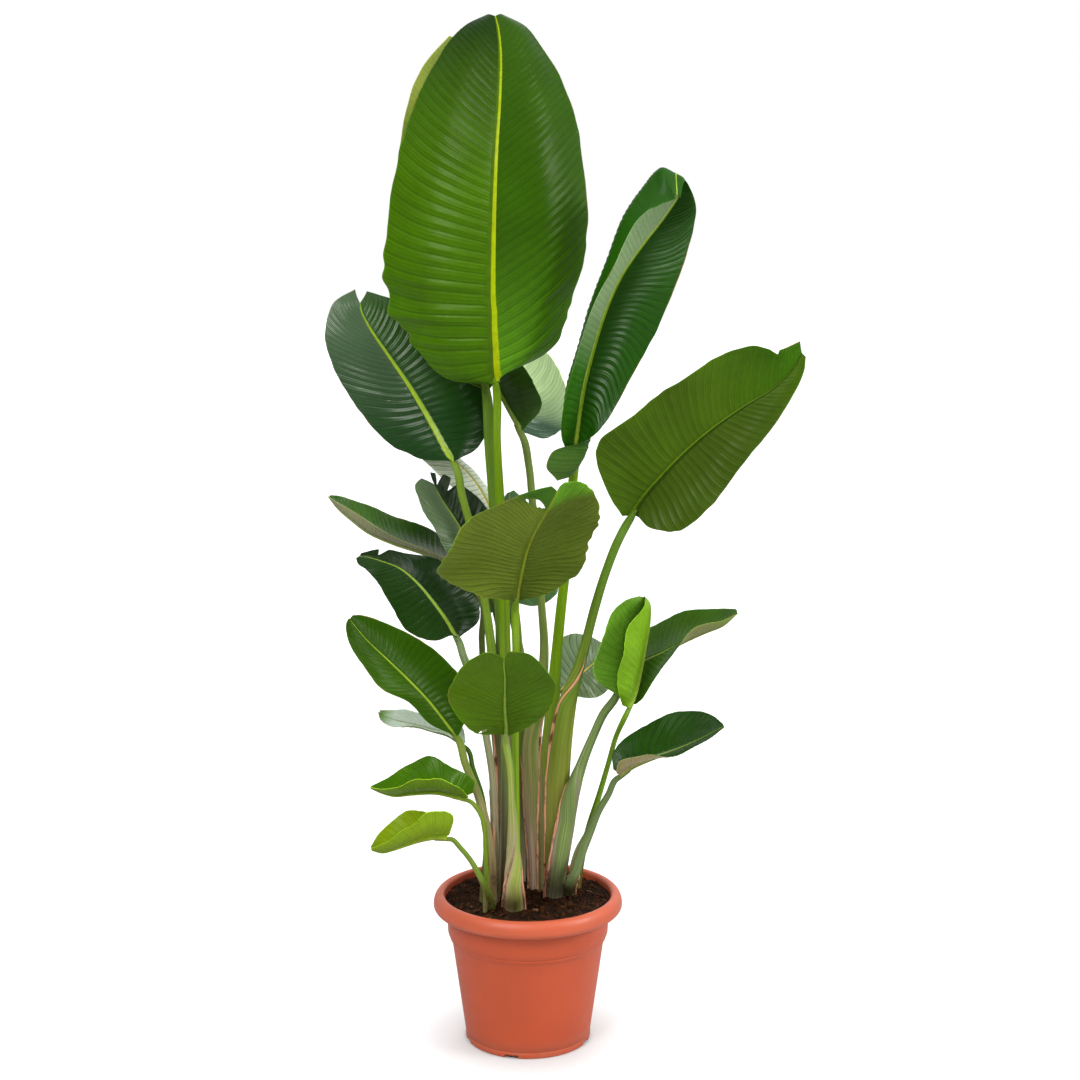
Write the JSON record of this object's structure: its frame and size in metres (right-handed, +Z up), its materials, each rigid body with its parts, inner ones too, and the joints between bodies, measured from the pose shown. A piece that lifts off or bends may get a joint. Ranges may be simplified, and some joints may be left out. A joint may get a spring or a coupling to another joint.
{
  "type": "potted bird of paradise plant",
  "caption": "Tall potted bird of paradise: broad ribbed paddle leaves on long sheathed stalks rising from dark soil in a round tapered nursery pot with a rolled rim.",
  "frame": {"origin": "middle of the pot's flat underside, on the surface that the pot stands on", "axes": "+Z up along the pot's axis and the plant's height; the front, with the largest leaf facing it, is -Y; +X is to the right seen from the front"},
  "size_m": [0.6777, 0.4983, 1.4952],
  "materials": {
    "leaf_bright": "waxy upper side, bright yellow-green where light comes through",
    "leaf_dark": "dark blue-green, semi-gloss, fine parallel veins",
    "leaf_olive": "matte olive under side with a paler rib",
    "stalk_green": "smooth green stalk, grey-violet sheath with dried edges near the soil",
    "potting_soil": "moist dark potting mix with bark and fibre",
    "terracotta_plastic": "satin moulded plastic, terracotta colour"
  },
  "bodies": {
    "root": {"blade_tall_front": "leaf_bright", "stalk_tall_front": "stalk_green", "blade_tall_back": "leaf_olive", "stalk_tall_back": "stalk_green", "blade_left_high": "leaf_dark", "stalk_left_high": "stalk_green", "blade_right_high": "leaf_dark", "stalk_right_high": "stalk_green", "blade_right_wide": "leaf_olive", "stalk_right_wide": "stalk_green", "blade_centre_front": "leaf_olive", "stalk_centre_front": "stalk_green", "blade_low_round": "leaf_olive", "stalk_low_round": "stalk_green", "blade_back_folded": "leaf_dark", "stalk_back_folded": "stalk_green", "blade_left_narrow": "leaf_dark", "stalk_left_narrow": "stalk_green", "blade_left_shredded": "leaf_dark", "stalk_left_shredded": "stalk_green", "blade_left_back": "leaf_dark", "stalk_left_back": "stalk_green", "blade_left_middle": "leaf_dark", "stalk_left_middle": "stalk_green", "blade_left_bright": "leaf_bright", "stalk_left_bright": "stalk_green", "blade_left_small": "leaf_dark", "stalk_left_small": "stalk_green", "blade_left_creased": "leaf_bright", "stalk_left_creased": "stalk_green", "blade_left_lowest": "leaf_bright", "stalk_left_lowest": "stalk_green", "blade_right_folded": "leaf_bright", "stalk_right_folded": "stalk_green", "blade_right_middle": "leaf_dark", "stalk_right_middle": "stalk_green", "blade_right_low": "leaf_dark", "stalk_right_low": "stalk_green", "blade_back_right": "leaf_dark", "stalk_back_right": "stalk_green", "blade_back_centre": "leaf_dark", "stalk_back_centre": "stalk_green", "soil": "potting_soil", "pot": "terracotta_plastic"}
  },
  "joints": []
}
